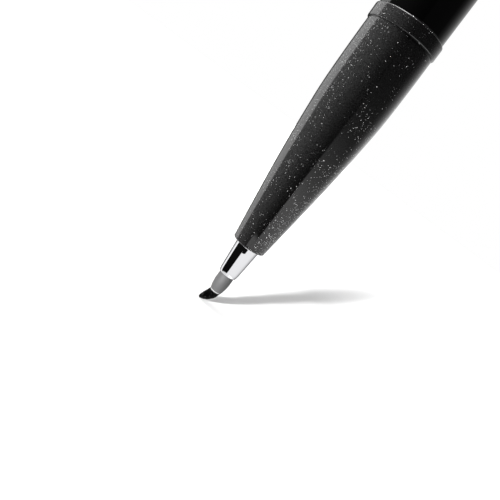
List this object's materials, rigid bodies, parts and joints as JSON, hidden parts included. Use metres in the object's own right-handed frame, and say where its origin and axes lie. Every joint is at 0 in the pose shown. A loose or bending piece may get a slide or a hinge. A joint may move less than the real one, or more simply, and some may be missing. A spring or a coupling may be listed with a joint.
{
  "type": "calligraphy marker",
  "caption": "Slim brush-nib calligraphy marker: tapering grip with a collar ring, bright ferrule, bent ink-wet nib, plain barrel and a clip cap posted on the tail.",
  "frame": {"origin": "on the pen's axis where the fingers hold the grip section, 36 mm above the writing point", "axes": "+Z along the pen's axis from the nib to the tail; the nib point is bent toward -X; the cap's clip stands at 45 degrees between +X and -Y"},
  "size_m": [0.014, 0.014, 0.164],
  "materials": {
    "glitter_plastic": "glossy black moulding with fine silver glitter",
    "black_plastic": "glossy",
    "ferrule_chrome": "polished",
    "clip_steel": "plated spring steel",
    "nib_elastomer": "matt grey",
    "ink_wet_fibre": "ink-wet felt",
    "nib_fibre": "inked felt",
    "white_plastic": "satin",
    "wound_fibre": "inked fibre rod",
    "clear_film": "clear film"
  },
  "bodies": {
    "pen": {"grip_section": "glitter_plastic", "ferrule": "ferrule_chrome", "nib_sleeve": "nib_elastomer", "nib_stem": "nib_fibre", "nib_holder": "white_plastic", "reservoir_core": "wound_fibre", "reservoir_film": "clear_film", "barrel": "black_plastic", "tail_plug": "black_plastic"},
    "nib": {"nib_point": "ink_wet_fibre"},
    "cap": {"cap_shell": "black_plastic", "cap_liner": "white_plastic", "cap_crown": "black_plastic"},
    "clip": {"cap_clip": "clip_steel"}
  },
  "joints": [
    {"name": "nib_flex", "type": "hinge", "parent": "pen", "child": "nib", "pos_m": [0, 0, -0.0334], "axis": [0, 1, 0], "range_deg": [-35, 10], "stiffness_Nm_per_rad": 0.003, "springref_deg": -35},
    {"name": "cap_pull", "type": "slide", "parent": "pen", "child": "cap", "axis": [0, 0, 1], "range_m": [0, 0.036]},
    {"name": "clip_lift", "type": "hinge", "parent": "cap", "child": "clip", "pos_m": [0.0046, -0.0046, 0.1235], "axis": [-0.7071, -0.7071, 0], "range_deg": [0, 5], "stiffness_Nm_per_rad": 1.2}
  ]
}
